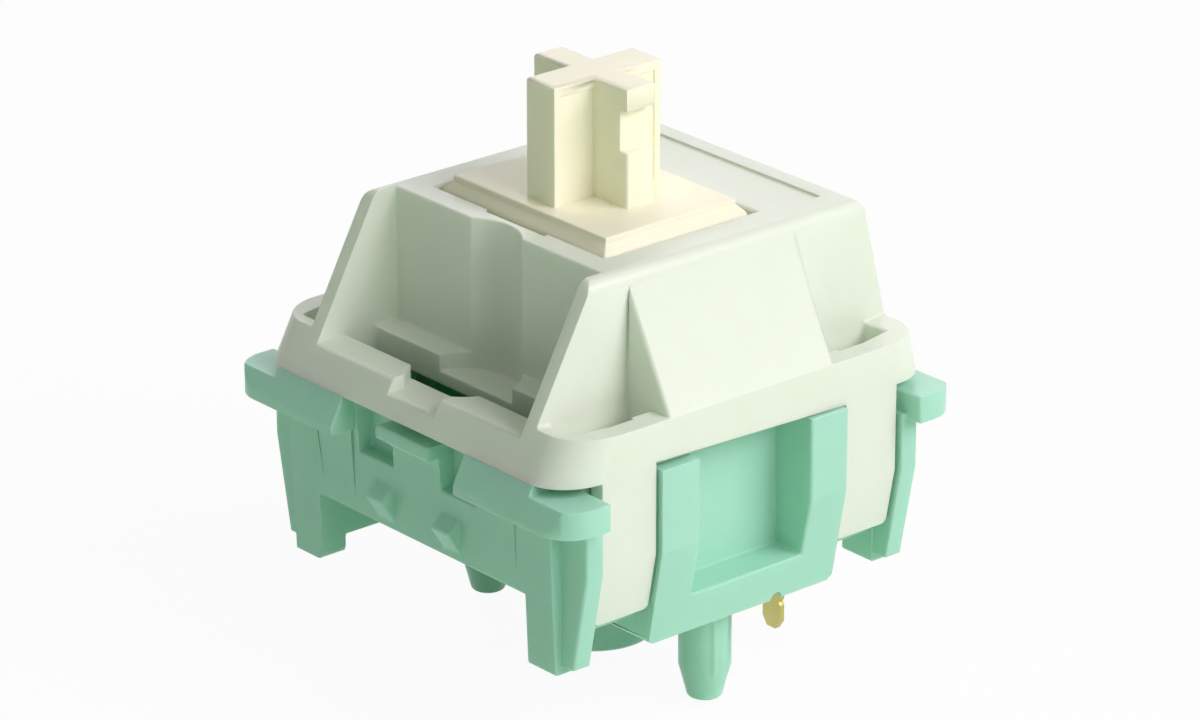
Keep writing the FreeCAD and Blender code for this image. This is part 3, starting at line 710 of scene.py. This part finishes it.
# %% Lay the floor
FLOOR_SIDE = 1.6  # metres
FLOOR_DROP = 0.02 * MM  # the gap under the longest pin
FLOOR_ROUGHNESS = 0.85
FLECK_SCALE = 0.02
WHITE_SHARE = 0.94  # how much of the floor the camera sees as plain white
WHITE = (1.0, 1.0, 1.0, 1.0)

bpy.ops.object.select_all(action="DESELECT")
bpy.ops.mesh.primitive_plane_add(size=FLOOR_SIDE, location=(0, 0, low[2] - FLOOR_DROP))
bpy.ops.object.transform_apply(location=True, rotation=False, scale=False)
floor = bpy.context.object
floor.name = "floor"
sheet = Finish("floor_white")
fleck = sheet.noise(FLECK_SCALE)
sheet.feed(sheet.shader,
           Base_Color=sheet.blend(fleck, paint(234, 250, 232), paint(230, 246, 228)),
           Roughness=FLOOR_ROUGHNESS)
glow = sheet.node("ShaderNodeEmission", Color=WHITE, Strength=1.0)
mixed = sheet.node("ShaderNodeMixShader", Fac=bright_for_camera(sheet.tree, WHITE_SHARE))
sheet.tree.links.new(sheet.shader.outputs["BSDF"], mixed.inputs[1])
sheet.tree.links.new(glow.outputs["Emission"], mixed.inputs[2])
sheet.tree.links.new(mixed.outputs["Shader"], sheet.tree.nodes["Material Output"].inputs["Surface"])
floor.data.materials.append(sheet.material)
floor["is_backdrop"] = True

# %% Light the surroundings
SKY_LEVEL = 0.235  # how bright the surroundings are as a light
SKY_TINT = (0.93, 1.0, 0.90, 1.0)  # the photograph's shadows are greener than its lit faces

world = bpy.data.worlds.new("surroundings")
bpy.context.scene.world = world
world.use_nodes = True
sky = world.node_tree
plain = sky.nodes["Background"]
plain.inputs["Color"].default_value = SKY_TINT
plain.inputs["Strength"].default_value = SKY_LEVEL
seen = sky.nodes.new("ShaderNodeBackground")
seen.inputs["Color"].default_value = WHITE
seen.inputs["Strength"].default_value = 1.0
choice = sky.nodes.new("ShaderNodeMixShader")
sky.links.new(bright_for_camera(sky, 1.0).socket, choice.inputs["Fac"])
sky.links.new(plain.outputs["Background"], choice.inputs[1])
sky.links.new(seen.outputs["Background"], choice.inputs[2])
sky.links.new(choice.outputs["Shader"], sky.nodes["World Output"].inputs["Surface"])


# %% Hang the lamps
LAMP_TINT = (1.0, 0.915, 0.975)
LAMP_DISTANCE = 0.35  # metres
LAMP_AIM = Vector((0, 0, 6 * MM))  # about the middle of the switch


def outward(azimuth, elevation):
    """The direction away from the switch at two angles in degrees, the first turned from -Y towards +X."""
    turn = math.radians(azimuth)
    lift = math.radians(elevation)
    return Vector((math.sin(turn) * math.cos(lift), -math.cos(turn) * math.cos(lift), math.sin(lift)))


def hang(name, data, place, away):
    """Put a lamp or a camera at a place, with its back turned away from the switch."""
    holder = bpy.data.objects.new(name, data)
    holder.location = place
    holder.rotation_mode = "QUATERNION"
    holder.rotation_quaternion = away.to_track_quat("Z", "Y")
    bpy.context.scene.collection.objects.link(holder)
    return holder


def lamp(name, azimuth, elevation, size, power):
    """A square soft lamp that looks at the switch: its side in metres and its power in watts."""
    light = bpy.data.lights.new(name, "AREA")
    light.size = size
    light.energy = power
    light.color = LAMP_TINT
    away = outward(azimuth, elevation)
    hang(name, light, away * LAMP_DISTANCE + LAMP_AIM, away)


lamp("key_light", azimuth=120, elevation=38, size=0.18, power=0.65)
lamp("right_light", azimuth=92, elevation=30, size=0.16, power=0.38)
lamp("top_light", azimuth=60, elevation=76, size=0.24, power=0.09)
lamp("back_light", azimuth=235, elevation=32, size=0.22, power=0.22)

# %% [markdown]
# ## Camera
# The photograph looks down on one corner with a long lens. Its direction, distance and lens come from fitting
# the model's own corners to the same corners in the picture.

# %% Place the camera
AZIMUTH = 49.39
ELEVATION = 22.15
DISTANCE = 171 * MM
FOCAL = 171.53  # millimetres, as for the sensor
SENSOR = 36
NEAREST = 0.01  # the camera sees nothing nearer or farther than this and the next, in metres
FARTHEST = 10
MIDDLE = Vector((0, 0, 7 * MM))  # of the switch
SHIFT = (0.179 * MM, -0.688 * MM)  # right and up from there, to what the camera looks at
QUARTER = 90

back = outward(AZIMUTH, ELEVATION)
right = outward(AZIMUTH + QUARTER, 0)
up = back.cross(right)
lens = bpy.data.cameras.new("camera")
lens.lens = FOCAL
lens.sensor_width = SENSOR
lens.clip_start = NEAREST
lens.clip_end = FARTHEST
aim = MIDDLE + right * SHIFT[0] + up * SHIFT[1]
bpy.context.scene.camera = hang("camera", lens, aim + back * DISTANCE, back)
bpy.context.scene.view_settings.view_transform = "Standard"

# %% [markdown]
# ## The size
# The dressed switch has the CAD part's size. Both boxes are printed, so that they can be compared.

# %% Print the sizes and finish
visual_box = [list(corner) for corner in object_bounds()]
for name, (low, high) in (("CAD part", cad_box), ("dressed switch", visual_box)):
    print(name, "in millimetres:", [round((high[axis] - low[axis]) / MM, 3) for axis in range(3)])
